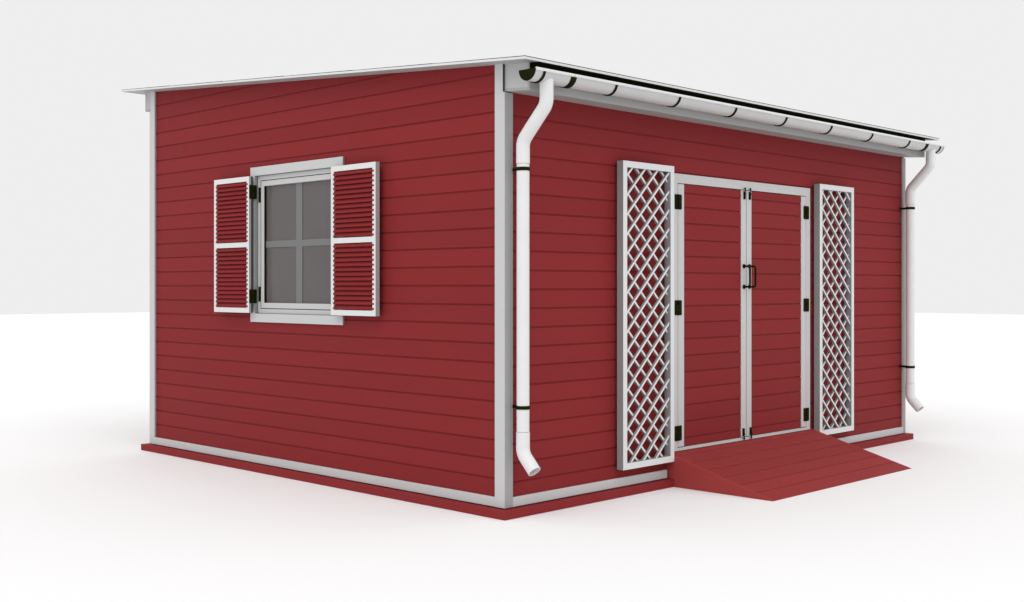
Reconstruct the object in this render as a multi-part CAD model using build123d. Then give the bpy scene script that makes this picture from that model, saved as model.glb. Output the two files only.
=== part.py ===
from build123d import *
import math
import os

# Lean-to garden shed: a timber room under one roof slope, with a ramp, double doors
# between two trellises, one shuttered window, a gutter and two downpipes.
# Millimetres. +X runs right along the front wall, +Y goes into the building, +Z is up.
# The origin is at ground level under the middle of the walls, on the platform's underside.

# ---------------------------------------------------------------- driving dimensions
WALL_LENGTH = 6000          # outside of the siding, along X
WALL_DEPTH = 4920           # outside of the siding, along Y
SIDING = 20                 # thickness of the boards
CORE = 100                  # stud wall behind the boards
TRIM = 20                   # how far every white trim stands off the siding

PLATFORM_HEIGHT = 60
PLATFORM_REACH = 80
BASE_TRIM_TOP = 135
CORNER_SIDE_WIDTH = 100     # leg on the left and right walls, over the front leg's edge
CORNER_FRONT_WIDTHS = {-1: 84, 1: 55}      # left and right legs on the front and back walls
TRIM_GAP = 7                # shadow gap over the platform and under the eave boxes

FLOOR_TOP = 270
FLOOR_BOARD = 22
JOIST_WIDTH = 50
JOIST_SPACING = 560

EAVE_FRONT_HEIGHT = 3179    # underside of the roof deck at the front siding
ROOF_RISE = 367.5           # the deck climbs this much over the wall depth
DECK = 18
SHEET = 5
ROOF_SIDE_REACH = 143
ROOF_FRONT_REACH = 334
ROOF_BACK_REACH = 358
RAFTER_WIDTH = 60
RAFTER_DEPTH = 140
RAFTER_SPACING = 760
EAVE_BOX_FRONT = 242
EAVE_BOX_BACK = 138
EAVE_BOX_DEPTH = 190
EAVE_BOARD = 20
DRIP_STRIP_DROP = 50
DRIP_STRIP = 3
DRIP_INSET = 3              # behind the roof's front edge

GUTTER_RADIUS = 77
GUTTER_WALL = 4
GUTTER_REACH = 325          # gutter centre in front of the siding
GUTTER_RIM = 3090
GUTTER_PAST_WALL = 108
GUTTER_RING_INSET = 278
GUTTER_RING_WIDTH = 55
GUTTER_RING = 5
BRACKET_WIDTH = 20
BRACKET = 8
BRACKET_SPACING = 765
BRACKET_PAST_WALL = 23

PIPE_DIAMETER = 90
SOCKET_DIAMETER = 96       # the neck and the shoe, which the straight pipe meets
PIPE_WALL = 4
PIPE_INSET = 68             # pipe axis in from the end of the wall
PIPE_OFF_WALL = 113
OUTLET_FORWARD = 12         # outlet in front of the gutter's axis
NECK_UPPER_BEND = 2872
NECK_LOWER_BEND = 2637
NECK_BOTTOM = 2478
SHOE_TOP = 605
SHOE_BEND = 454
SHOE_MOUTH_HEIGHT = 338
SHOE_MOUTH_REACH = 224
PIPE_BEND_RADIUS = 100
NECK_BEND_ARM = 46          # from a bend's corner to the sloping length
PIPE_JOINT_GAP = 2
CLAMP_HEIGHTS = (776, 2441)
CLAMP_WIDTH = 25
CLAMP = 4

DOOR_FRAME_WIDTH = 2155
DOOR_FRAME_BOTTOM = 271
DOOR_FRAME_TOP = 2547
DOOR_JAMB = 72
DOOR_HEAD = 77
DOOR_SILL = 25
DOOR_LINING = 30
LEAF = 44                   # leaf thickness
LEAF_STILE = 82
LEAF_MEETING_STILE = 76
LEAF_SIDE_GAP = 5.5
LEAF_END_GAP = 6
LEAF_MEETING_GAP = 10
LEAF_PANEL = 32
HINGE_PROUD = 8             # pin axis in front of the door's face
HINGE_HEIGHTS = (417, 1446, 2314)
HINGE_TALL = 123
HINGE_WIDE = 96
HINGE_PLATE = 4
HINGE_CORNER = 11
HINGE_KNUCKLE = 7
HANDLE_HEIGHT = 1708
HANDLE_SPAN = 180
HANDLE_ROSE = 38
HANDLE_BAR = 18
HANDLE_REACH = 74
BOLT_ROD = 5
BOLT_KNOB = 9
BOLT_OFF_FACE = 15
BOLT_TOP = (2385, 2488)
BOLT_BOTTOM = (279, 377)
BOLT_FROM_MIDDLE = {-1: 56, 1: 42}         # bottom and top bolts, from the meeting line

TRELLIS_LEFT_EDGE = 1207.5  # outer edge of the left trellis, from the left end of the wall
TRELLIS_WIDTH = 652.5
TRELLIS_BOTTOM = 205
TRELLIS_TOP = 2592
TRELLIS_MEMBER = 50
TRELLIS_FRONT = 86
TRELLIS_BACK = 22
TRELLIS_SPACER = 20
LATTICE_FRONT = 72
LATTICE_SLAT = 20
LATTICE_SLAT_WIDTH = 17
LATTICE_PITCH_ACROSS = 159
LATTICE_PITCH_UP = 151.5
LATTICE_CROSSING = 2426     # height of one crossing on each trellis's middle line

RAMP_WIDTH = 2278           # just clears the trellis frames
RAMP_GAP = 8                # between the ramp and the skirting boards
RAMP_RUN = 1004
RAMP_DECK = 30
RAMP_STRINGER = 45
RAMP_STRINGERS = 4

WINDOW_CENTRE = 30          # along Y
WINDOW_WIDTH = 1333         # over the casing
WINDOW_BOTTOM = 1307
WINDOW_TOP = 2672
CASING_BOARD = 72
CASING_HEAD = 78
CASING_SILL = 76
CASING_LIP = 8              # covers the cut ends of the siding
FRAME_STILE = 50
FRAME_RAIL = 44
SASH_STILE = 46
SASH_HEAD = 48
SASH_FOOT = 50
SASH = 40
WINDOW_RECESS = 10          # frame and sash behind the siding plane
GLASS = 6
GLASS_INSET = 8             # the pane's back in front of the sash's back

SHUTTER_WIDTH = 571
SHUTTER = 41
SHUTTER_GAP = 5.5           # above and below, inside the casing
SHUTTER_PIN_GAP = 8         # hinge edge to pin axis
SHUTTER_PIN_TO_CASING = 12
SHUTTER_STILE = 40
SHUTTER_RAIL = 44
SHUTTER_MID_RAIL = (1966, 2010)
LOUVRE_PANEL = 24
SHUTTER_HINGE_HEIGHTS = (1534, 2452)
SHUTTER_HINGE_TALL = 122
SHUTTER_HINGE_PLATE = 2.5
SHUTTER_KNUCKLE = 5

# ---------------------------------------------------------------- worked out from them
HALF_LENGTH = WALL_LENGTH / 2
FRONT = -WALL_DEPTH / 2
BACK = WALL_DEPTH / 2
WALL = SIDING + CORE
ROOF_SLOPE = ROOF_RISE / WALL_DEPTH
DOOR_FACE = FRONT - TRIM
FRAME_HALF = DOOR_FRAME_WIDTH / 2
OPENING_HALF = FRAME_HALF - DOOR_JAMB
ROUGH_HALF = OPENING_HALF + DOOR_LINING
OPENING_TOP = DOOR_FRAME_TOP - DOOR_HEAD
OPENING_BOTTOM = DOOR_FRAME_BOTTOM + DOOR_SILL
ROUGH_TOP = OPENING_TOP + DOOR_LINING
PIPE_RADIUS = PIPE_DIAMETER / 2
SOCKET_RADIUS = SOCKET_DIAMETER / 2
PIPE_X = HALF_LENGTH - PIPE_INSET
LEFT = -HALF_LENGTH
WINDOW_HALF = WINDOW_WIDTH / 2
CASING_HALF = WINDOW_HALF - CASING_BOARD
CASING_BOTTOM = WINDOW_BOTTOM + CASING_SILL
CASING_TOP = WINDOW_TOP - CASING_HEAD
LEAF_PIN_X = OPENING_HALF - LEAF_SIDE_GAP / 2
LEAF_PIN_Y = DOOR_FACE - HINGE_PROUD
LEAF_BOTTOM = OPENING_BOTTOM + LEAF_END_GAP
LEAF_TOP = OPENING_TOP - LEAF_END_GAP
LEAF_HINGE_EDGE = OPENING_HALF - LEAF_SIDE_GAP
LEAF_MEETING_EDGE = LEAF_MEETING_GAP / 2
SHUTTER_PIN_X = LEFT - SHUTTER
SHUTTER_PIN_HALF = CASING_HALF - SHUTTER_PIN_TO_CASING
SHUTTER_BOTTOM = CASING_BOTTOM + SHUTTER_GAP
SHUTTER_TOP = CASING_TOP - SHUTTER_GAP
SIDES = (-1, 1)


# ---------------------------------------------------------------- helpers
def block(x, y, z):
    """A box from three (low, high) pairs, in any order."""
    low = [min(pair) for pair in (x, y, z)]
    size = [abs(pair[1] - pair[0]) for pair in (x, y, z)]
    return Pos(*low) * Box(*size, align=(Align.MIN, Align.MIN, Align.MIN))


def prism_x(outline, x0, x1):
    """A (y, z) outline run along X."""
    face = make_face(Polyline(*[(x0, y, z) for y, z in outline], close=True))
    return extrude(face, amount=x1 - x0, dir=(1, 0, 0))


def roof_line(y):
    """Height of the roof deck's underside."""
    return EAVE_FRONT_HEIGHT + ROOF_SLOPE * (y - FRONT)


def under_roof(x, y, bottom):
    """A wall piece with a level bottom whose top follows the roof deck."""
    outline = [(y[0], bottom), (y[1], bottom), (y[1], roof_line(y[1])), (y[0], roof_line(y[0]))]
    return prism_x(outline, *x)


def roof_slab(x, y, lift, thickness):
    """A slab of constant upright thickness, lifted off the roof line."""
    outline = [
        (y[0], roof_line(y[0]) + lift),
        (y[1], roof_line(y[1]) + lift),
        (y[1], roof_line(y[1]) + lift + thickness),
        (y[0], roof_line(y[0]) + lift + thickness),
    ]
    return prism_x(outline, *x)


def upright_rod(x, y, z, radius):
    """A round bar between two heights."""
    return Pos(x, y, z[0]) * Cylinder(radius, z[1] - z[0], align=(Align.CENTER, Align.CENTER, Align.MIN))


def rod_x(x, y, z, radius):
    """A round bar along X."""
    bar = Cylinder(radius, x[1] - x[0], align=(Align.CENTER, Align.CENTER, Align.MIN))
    return Pos(x[0], y, z) * Rot(0, 90, 0) * bar


def rod_y(x, y, z, radius):
    """A round bar along Y."""
    bar = Cylinder(radius, y[1] - y[0], align=(Align.CENTER, Align.CENTER, Align.MIN))
    return Pos(x, y[0], z) * Rot(-90, 0, 0) * bar


def ring_in_front_wall(half, z, depth, member):
    """A rectangular ring in the XZ plane: outer half width, (low, high), Y pair, member widths."""
    side, head, sill = member
    outer = block((-half, half), depth, z)
    hole = block((-half + side, half - side), (depth[0] - 1, depth[1] + 1), (z[0] + sill, z[1] - head))
    return outer - hole


def ring_in_left_wall(half, z, depth, member):
    """A rectangular ring in the YZ plane, about the window's centre."""
    side, head, sill = member
    y = (WINDOW_CENTRE - half, WINDOW_CENTRE + half)
    outer = block(depth, y, z)
    hole = block((depth[0] - 1, depth[1] + 1), (y[0] + side, y[1] - side), (z[0] + sill, z[1] - head))
    return outer - hole


def joined(pieces):
    """One shape from pieces that touch or overlap."""
    result = pieces[0]
    for piece in pieces[1:]:
        result = result + piece
    return result


def apart(pieces):
    """Several solids in one node."""
    solids = []
    for piece in pieces:
        solids += list(piece.solids())
    return Compound(children=solids)


# ---------------------------------------------------------------- base and floor
def base_platform():
    reach_x = HALF_LENGTH + PLATFORM_REACH
    reach_y = BACK + PLATFORM_REACH
    return block((-reach_x, reach_x), (-reach_y, reach_y), (0, PLATFORM_HEIGHT))


def floor_deck():
    """Floor boards with the joists that carry them, inside the walls."""
    half_x = HALF_LENGTH - WALL
    half_y = BACK - WALL
    boards = block((-half_x, half_x), (-half_y, half_y), (FLOOR_TOP - FLOOR_BOARD, FLOOR_TOP))
    pieces = [boards]
    count = int(half_x // JOIST_SPACING)
    for step in range(-count, count + 1):
        x = step * JOIST_SPACING
        width = (x - JOIST_WIDTH / 2, x + JOIST_WIDTH / 2)
        pieces.append(block(width, (-half_y, half_y), (PLATFORM_HEIGHT, FLOOR_TOP - FLOOR_BOARD)))
    return joined(pieces)


# ---------------------------------------------------------------- walls
def window_hole(grow):
    half = CASING_HALF + grow
    y = (WINDOW_CENTRE - half, WINDOW_CENTRE + half)
    return block((LEFT - WALL, LEFT + 2 * WALL), y, (CASING_BOTTOM - grow, CASING_TOP + grow))


def side_wall_core(side):
    x = sorted((side * (HALF_LENGTH - SIDING), side * (HALF_LENGTH - WALL)))
    return under_roof(x, (FRONT + WALL, BACK - WALL), PLATFORM_HEIGHT)


def side_siding_slab(side):
    x = sorted((side * (HALF_LENGTH - SIDING), side * HALF_LENGTH))
    return under_roof(x, (FRONT, BACK), PLATFORM_HEIGHT)


def left_wall():
    return side_wall_core(-1) - window_hole(0)


def right_wall():
    return side_wall_core(1)


def left_siding():
    return side_siding_slab(-1) - window_hole(CASING_LIP)


def right_siding():
    return side_siding_slab(1)


def back_wall():
    half = HALF_LENGTH - SIDING
    return under_roof((-half, half), (BACK - WALL, BACK - SIDING), PLATFORM_HEIGHT)


def back_siding():
    half = HALF_LENGTH - SIDING
    return under_roof((-half, half), (BACK - SIDING, BACK), PLATFORM_HEIGHT)


def front_wall_side(side):
    """The stud wall beside the doorway."""
    x = sorted((side * (HALF_LENGTH - SIDING), side * ROUGH_HALF))
    return under_roof(x, (FRONT + SIDING, FRONT + WALL), PLATFORM_HEIGHT)


def front_wall_over_door():
    return under_roof((-ROUGH_HALF, ROUGH_HALF), (FRONT + SIDING, FRONT + WALL), ROUGH_TOP)


def threshold_beam():
    """The sill beam under the door, behind the ramp."""
    return block((-ROUGH_HALF, ROUGH_HALF), (FRONT, FRONT + WALL), (PLATFORM_HEIGHT, DOOR_FRAME_BOTTOM))


def front_siding():
    half = HALF_LENGTH - SIDING
    slab = under_roof((-half, half), (FRONT, FRONT + SIDING), PLATFORM_HEIGHT)
    notch = block((-ROUGH_HALF, ROUGH_HALF), (FRONT - 1, FRONT + SIDING + 1), (0, ROUGH_TOP))
    return slab - notch


# ---------------------------------------------------------------- white trims
def base_trims():
    """The skirting boards, with a break in front for the ramp."""
    z = (PLATFORM_HEIGHT + TRIM_GAP, BASE_TRIM_TOP)
    side_end = BACK + TRIM - CORNER_SIDE_WIDTH
    front_ends = [side * (HALF_LENGTH + TRIM - CORNER_FRONT_WIDTHS[side]) for side in SIDES]
    ramp_gap = RAMP_WIDTH / 2 + RAMP_GAP
    pieces = [block(front_ends, (BACK, BACK + TRIM), z)]
    for side, front_end in zip(SIDES, front_ends):
        x = (side * HALF_LENGTH, side * (HALF_LENGTH + TRIM))
        pieces.append(block(x, (-side_end, side_end), z))
        pieces.append(block((side * ramp_gap, front_end), (FRONT - TRIM, FRONT), z))
    return apart(pieces)


def corner_trim(side, end):
    """Two boards round a corner: the side leg runs to the roof, notched beside the eave box."""
    edge = end * BACK
    outer = end * (BACK + TRIM)
    x_out = side * (HALF_LENGTH + TRIM)
    side_y = sorted((outer, outer - end * CORNER_SIDE_WIDTH))
    side_x = sorted((side * HALF_LENGTH, x_out))
    foot = PLATFORM_HEIGHT + TRIM_GAP
    side_leg = under_roof(side_x, side_y, foot)
    eave = min(roof_line(edge), roof_line(outer)) - EAVE_BOX_DEPTH - TRIM_GAP
    side_leg -= block(side_x, (edge, outer), (eave, eave + 2 * EAVE_BOX_DEPTH))
    face_x = (side * HALF_LENGTH, x_out - side * CORNER_FRONT_WIDTHS[side])
    face_leg = block(face_x, (edge, outer), (foot, eave))
    return side_leg + face_leg


def corner_trims():
    return apart([corner_trim(side, end) for side in SIDES for end in SIDES])


# ---------------------------------------------------------------- roof
def rafters():
    reach = int((HALF_LENGTH - WALL) // RAFTER_SPACING)
    pieces = []
    for step in range(-reach, reach + 1):
        x = step * RAFTER_SPACING
        width = (x - RAFTER_WIDTH / 2, x + RAFTER_WIDTH / 2)
        pieces.append(roof_slab(width, (FRONT + WALL, BACK - WALL), -RAFTER_DEPTH, RAFTER_DEPTH))
    return apart(pieces)


def roof_layer(lift, thickness):
    half = HALF_LENGTH + ROOF_SIDE_REACH
    return roof_slab((-half, half), (FRONT - ROOF_FRONT_REACH, BACK + ROOF_BACK_REACH), lift, thickness)


def roof_deck():
    return roof_layer(0, DECK)


def roof_sheet():
    return roof_layer(DECK, SHEET)


def eave_span(end):
    """The (wall, outer) Y pair of the eave box at one end of the roof."""
    reach = EAVE_BOX_FRONT if end < 0 else EAVE_BOX_BACK
    return end * BACK, end * (BACK + reach)


def eave_fascia(end):
    outer = eave_span(end)[1]
    y = sorted((outer, outer - end * EAVE_BOARD))
    return roof_slab((-HALF_LENGTH, HALF_LENGTH), y, -EAVE_BOX_DEPTH, EAVE_BOX_DEPTH)


def eave_soffit(end):
    wall, outer = eave_span(end)
    y = sorted((wall, outer - end * EAVE_BOARD))
    return roof_slab((-HALF_LENGTH, HALF_LENGTH), y, -EAVE_BOX_DEPTH, EAVE_BOARD)


def eave_end_board(side, end):
    wall, outer = eave_span(end)
    x = sorted((side * HALF_LENGTH, side * (HALF_LENGTH - EAVE_BOARD)))
    y = sorted((wall, outer - end * EAVE_BOARD))
    return roof_slab(x, y, -EAVE_BOX_DEPTH + EAVE_BOARD, EAVE_BOX_DEPTH - EAVE_BOARD)


def eave_drip_strip():
    """Dark metal angle under the front overhang and down the top of the fascia."""
    outer = eave_span(-1)[1]
    length = (-HALF_LENGTH, HALF_LENGTH)
    upright = roof_slab(length, (outer - DRIP_STRIP, outer), -DRIP_STRIP_DROP, DRIP_STRIP_DROP)
    roof_edge = FRONT - ROOF_FRONT_REACH + DRIP_INSET
    return upright + roof_slab(length, (roof_edge, outer), -DRIP_STRIP, DRIP_STRIP)


# ---------------------------------------------------------------- gutter
GUTTER_Y = FRONT - GUTTER_REACH
GUTTER_END = HALF_LENGTH + GUTTER_PAST_WALL
OUTLET_Y = GUTTER_Y - OUTLET_FORWARD


def half_tube(x, inner, outer):
    """The lower half of a tube along X, about the gutter's axis."""
    tube = rod_x(x, GUTTER_Y, GUTTER_RIM, outer) - rod_x((x[0] - 1, x[1] + 1), GUTTER_Y, GUTTER_RIM, inner)
    upper = block(
        (x[0] - 1, x[1] + 1),
        (GUTTER_Y - 2 * outer, GUTTER_Y + 2 * outer),
        (GUTTER_RIM, GUTTER_RIM + 2 * outer),
    )
    return tube - upper


def gutter():
    trough = half_tube((-GUTTER_END, GUTTER_END), GUTTER_RADIUS - GUTTER_WALL, GUTTER_RADIUS)
    for side in SIDES:
        outlet = (GUTTER_RIM - 2 * GUTTER_RADIUS, GUTTER_RIM)
        trough -= upright_rod(side * PIPE_X, OUTLET_Y, outlet, SOCKET_RADIUS - PIPE_WALL)
    return trough


def gutter_end_caps():
    pieces = []
    for side in SIDES:
        x = sorted((side * GUTTER_END, side * (GUTTER_END + GUTTER_WALL)))
        disc = rod_x(x, GUTTER_Y, GUTTER_RIM, GUTTER_RADIUS + 2)
        keep = block((x[0], x[1]), (GUTTER_Y - 100, GUTTER_Y + 100), (GUTTER_RIM - 100, GUTTER_RIM))
        pieces.append(disc & keep)
    return apart(pieces)


def gutter_joint_rings():
    pieces = []
    for side in SIDES:
        middle = side * (HALF_LENGTH - GUTTER_RING_INSET)
        x = (middle - GUTTER_RING_WIDTH / 2, middle + GUTTER_RING_WIDTH / 2)
        pieces.append(half_tube(x, GUTTER_RADIUS, GUTTER_RADIUS + GUTTER_RING))
    return apart(pieces)


def gutter_brackets():
    """Hangers under the gutter, each with a tab back to the fascia."""
    first = -HALF_LENGTH - BRACKET_PAST_WALL
    places = [first + BRACKET_SPACING * step for step in range(8)]
    places.append(HALF_LENGTH + BRACKET_PAST_WALL)
    fascia = FRONT - EAVE_BOX_FRONT
    outer = GUTTER_RADIUS + BRACKET
    pieces = []
    for middle in places:
        x = (middle - BRACKET_WIDTH / 2, middle + BRACKET_WIDTH / 2)
        hanger = half_tube(x, GUTTER_RADIUS, outer) & block(x, (GUTTER_Y - outer, fascia), (0, GUTTER_RIM))
        tab = block(x, (GUTTER_Y + GUTTER_RADIUS, fascia), (GUTTER_RIM - 60, GUTTER_RIM))
        tab -= rod_x((x[0] - 1, x[1] + 1), GUTTER_Y, GUTTER_RIM, GUTTER_RADIUS)
        pieces.append(hanger + tab)
    return apart(pieces)


# ---------------------------------------------------------------- downpipes
def socket_pipe(points):
    """A wide round pipe along a bent route of (y, z) points in the plane X = 0."""
    route = FilletPolyline(*[(0, y, z) for y, z in points], radius=PIPE_BEND_RADIUS)
    start = Plane(origin=route @ 0, z_dir=route % 0)
    outside = sweep(start * Circle(SOCKET_RADIUS), path=route)
    inside = sweep(start * Circle(SOCKET_RADIUS - PIPE_WALL), path=route)
    return outside - inside


PIPE_Y = FRONT - PIPE_OFF_WALL
NECK_BENDS = ((OUTLET_Y, NECK_UPPER_BEND), (PIPE_Y, NECK_LOWER_BEND))
NECK_RUN = math.dist(*NECK_BENDS)


def on_neck(distance):
    """The (y, z) point on the neck's slope at a distance from the upper bend."""
    share = distance / NECK_RUN
    return tuple(upper + share * (lower - upper) for upper, lower in zip(*NECK_BENDS))


def neck_bends():
    """The two bends of a swan neck: one under the gutter, one at the wall."""
    upper = socket_pipe([(OUTLET_Y, GUTTER_RIM - 35), NECK_BENDS[0], on_neck(NECK_BEND_ARM)])
    trough = rod_x((-SOCKET_DIAMETER, SOCKET_DIAMETER), GUTTER_Y, GUTTER_RIM, GUTTER_RADIUS)
    foot = (PIPE_Y, NECK_BOTTOM + PIPE_JOINT_GAP / 2)
    lower = socket_pipe([on_neck(NECK_RUN - NECK_BEND_ARM), NECK_BENDS[1], foot])
    return [upper - trough, lower]


def neck_slope():
    """The straight sloping length between a neck's bends."""
    start = Vector(0, *on_neck(NECK_BEND_ARM))
    end = Vector(0, *on_neck(NECK_RUN - NECK_BEND_ARM))
    plane = Plane(origin=start, z_dir=end - start)
    ring = plane * (Circle(SOCKET_RADIUS) - Circle(SOCKET_RADIUS - PIPE_WALL))
    return extrude(ring, amount=(end - start).length)


def straight_pipe():
    z = (SHOE_TOP + PIPE_JOINT_GAP / 2, NECK_BOTTOM - PIPE_JOINT_GAP / 2)
    return upright_rod(0, PIPE_Y, z, PIPE_RADIUS) - upright_rod(0, PIPE_Y, z, PIPE_RADIUS - PIPE_WALL)


def pipe_shoe():
    """The bend at the foot that throws the water forward."""
    points = [
        (PIPE_Y, SHOE_TOP - PIPE_JOINT_GAP / 2),
        (PIPE_Y, SHOE_BEND),
        (FRONT - SHOE_MOUTH_REACH, SHOE_MOUTH_HEIGHT),
    ]
    return socket_pipe(points)


def pipe_clamps():
    """Rings round the pipes on short stand-offs from the wall."""
    pieces = []
    for side in SIDES:
        for height in CLAMP_HEIGHTS:
            x = side * PIPE_X
            z = (height - CLAMP_WIDTH / 2, height + CLAMP_WIDTH / 2)
            ring = upright_rod(x, PIPE_Y, z, PIPE_RADIUS + CLAMP)
            post = block((x - 10, x + 10), (PIPE_Y, FRONT), (height - 10, height + 10))
            bore = upright_rod(x, PIPE_Y, (z[0] - 1, z[1] + 1), PIPE_RADIUS)
            pieces.append(ring + post - bore - corner_trim(side, -1))
    return apart(pieces)


# ---------------------------------------------------------------- trellises
def trellis_edges(side):
    """The (low, high) X pair of one trellis."""
    outer = HALF_LENGTH - TRELLIS_LEFT_EDGE
    return sorted((side * outer, side * (outer - TRELLIS_WIDTH)))


def trellis_frame(side):
    """Four white members, held off the siding by a small block near each corner."""
    x = trellis_edges(side)
    z = (TRELLIS_BOTTOM, TRELLIS_TOP)
    y = (FRONT - TRELLIS_FRONT, FRONT - TRELLIS_BACK)
    member = TRELLIS_MEMBER
    outer = block(x, y, z)
    hole = block((x[0] + member, x[1] - member), (y[0] - 1, y[1] + 1), (z[0] + member, z[1] - member))
    pieces = [outer - hole]
    spacer = TRELLIS_SPACER
    for spacer_x in ((x[0] + member - spacer, x[0] + member), (x[1] - member, x[1] - member + spacer)):
        for spacer_z in ((z[0] + spacer, z[0] + 2 * spacer), (z[1] - 2 * spacer, z[1] - spacer)):
            pieces.append(block(spacer_x, (FRONT - TRELLIS_BACK, FRONT), spacer_z))
    return joined(pieces)


def slat(middle_x, middle_z, y, lean):
    """One long diagonal bar through a point; lean is 1 for / and -1 for a bar leaning back."""
    angle = math.degrees(math.atan2(LATTICE_PITCH_UP, LATTICE_PITCH_ACROSS))
    length = 2 * TRELLIS_WIDTH
    bar = Box(length, LATTICE_SLAT, LATTICE_SLAT_WIDTH)
    return Pos(middle_x, y, middle_z) * Rot(0, -lean * angle, 0) * bar


def trellis_lattice(side):
    """Two layers of diagonal bars that bite into each other, less any loose corner chip."""
    x0, x1 = trellis_edges(side)
    clear_x = (x0 + TRELLIS_MEMBER, x1 - TRELLIS_MEMBER)
    clear_z = (TRELLIS_BOTTOM + TRELLIS_MEMBER, TRELLIS_TOP - TRELLIS_MEMBER)
    middle_x = (x0 + x1) / 2
    bite = 1
    front_y = FRONT - LATTICE_FRONT + LATTICE_SLAT / 2
    layers = ((front_y, -side), (front_y + LATTICE_SLAT - bite, side))
    spare = 2
    above = int((clear_z[1] - LATTICE_CROSSING) / LATTICE_PITCH_UP) + spare
    below = int((LATTICE_CROSSING - clear_z[0]) / LATTICE_PITCH_UP) + spare
    bars = []
    for y, lean in layers:
        for row in range(-above, below + 1):
            z = LATTICE_CROSSING - row * LATTICE_PITCH_UP
            bars.append(slat(middle_x, z, y, lean))
    lattice = joined(bars) & block(clear_x, (FRONT - TRELLIS_FRONT, FRONT), clear_z)
    return max(lattice.solids(), key=lambda solid: solid.volume)


# ---------------------------------------------------------------- ramp
RAMP_TOP = FLOOR_TOP


def ramp_outline(drop):
    """The ramp's side: a wedge from the wall to the ground, lowered by drop."""
    run = RAMP_RUN * (1 - drop / RAMP_TOP)
    return [(FRONT, 0), (FRONT, RAMP_TOP - drop), (FRONT - run, 0)]


def ramp_deck():
    """The sloped walking surface."""
    half = RAMP_WIDTH / 2
    return prism_x(ramp_outline(0), -half, half) - prism_x(ramp_outline(RAMP_DECK), -half, half)


def ramp_stringers():
    """Wedges under the deck, notched over the platform's edge."""
    half = RAMP_WIDTH / 2
    spacing = (RAMP_WIDTH - RAMP_STRINGER) / (RAMP_STRINGERS - 1)
    starts = [-half + spacing * step for step in range(RAMP_STRINGERS)]
    wedges = [prism_x(ramp_outline(RAMP_DECK), x, x + RAMP_STRINGER) for x in starts]
    return apart([wedge - base_platform() for wedge in wedges])


# ---------------------------------------------------------------- doors
def door_frame():
    """White trims on the face, with a lining through the wall and a sill."""
    z = (DOOR_FRAME_BOTTOM, DOOR_FRAME_TOP)
    trims = ring_in_front_wall(FRAME_HALF, z, (DOOR_FACE, FRONT), (DOOR_JAMB, DOOR_HEAD, DOOR_SILL))
    lining_z = (DOOR_FRAME_BOTTOM, ROUGH_TOP)
    widths = (DOOR_LINING, DOOR_LINING, DOOR_SILL)
    return trims + ring_in_front_wall(ROUGH_HALF, lining_z, (FRONT, FRONT + WALL), widths)


def hinge_knuckle(side, z):
    return upright_rod(side * LEAF_PIN_X, LEAF_PIN_Y, z, HINGE_KNUCKLE)


def hinge_half(side, height, towards_leaf):
    """One hinge leaf: a face plate with its share of the knuckle."""
    pin_x = side * LEAF_PIN_X
    way = -side if towards_leaf else side
    plate_y = (DOOR_FACE - HINGE_PLATE, DOOR_FACE)
    low = height - HINGE_TALL / 2
    third = HINGE_TALL / 3
    near = pin_x + way * (HINGE_KNUCKLE + 2)
    far = pin_x + way * HINGE_WIDE / 2
    plate = block((near, far), plate_y, (low, low + HINGE_TALL))
    corners = [edge for edge in plate.edges().filter_by(Axis.Y) if abs(edge.center().X - far) < 1]
    plate = fillet(corners, HINGE_CORNER)
    shares = [(1, 2)] if towards_leaf else [(0, 1), (2, 3)]
    pieces = [plate]
    for start, end in shares:
        z = (low + start * third + 0.5, low + end * third - 0.5)
        pieces.append(block((pin_x, near), plate_y, z))
        pieces.append(hinge_knuckle(side, z))
    return joined(pieces)


def leaf_panel(side):
    x = (side * (LEAF_MEETING_EDGE + LEAF_MEETING_STILE), side * (LEAF_HINGE_EDGE - LEAF_STILE))
    front = DOOR_FACE + (LEAF - LEAF_PANEL) / 2
    return block(x, (front, front + LEAF_PANEL), (LEAF_BOTTOM, LEAF_TOP))


def leaf_stiles(side):
    y = (DOOR_FACE, DOOR_FACE + LEAF)
    z = (LEAF_BOTTOM, LEAF_TOP)
    meeting = (side * LEAF_MEETING_EDGE, side * (LEAF_MEETING_EDGE + LEAF_MEETING_STILE))
    hinge = (side * (LEAF_HINGE_EDGE - LEAF_STILE), side * LEAF_HINGE_EDGE)
    return apart([block(meeting, y, z), block(hinge, y, z)])


def leaf_hinges(side):
    return apart([hinge_half(side, height, True) for height in HINGE_HEIGHTS])


def leaf_handle(side):
    """A D-shaped pull on two roses."""
    x = side * (LEAF_MEETING_EDGE + LEAF_MEETING_STILE / 2)
    bar_y = DOOR_FACE - HANDLE_REACH + HANDLE_BAR / 2
    ends = (HANDLE_HEIGHT - HANDLE_SPAN / 2, HANDLE_HEIGHT + HANDLE_SPAN / 2)
    bend = 22
    route = FilletPolyline(
        (x, DOOR_FACE, ends[0]), (x, bar_y, ends[0]), (x, bar_y, ends[1]), (x, DOOR_FACE, ends[1]),
        radius=bend,
    )
    start = Plane(origin=route @ 0, z_dir=route % 0)
    pieces = [sweep(start * Circle(HANDLE_BAR / 2), path=route)]
    for end in ends:
        pieces.append(rod_y(x, (DOOR_FACE - 8, DOOR_FACE), end, HANDLE_ROSE / 2))
    return joined(pieces)


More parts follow.
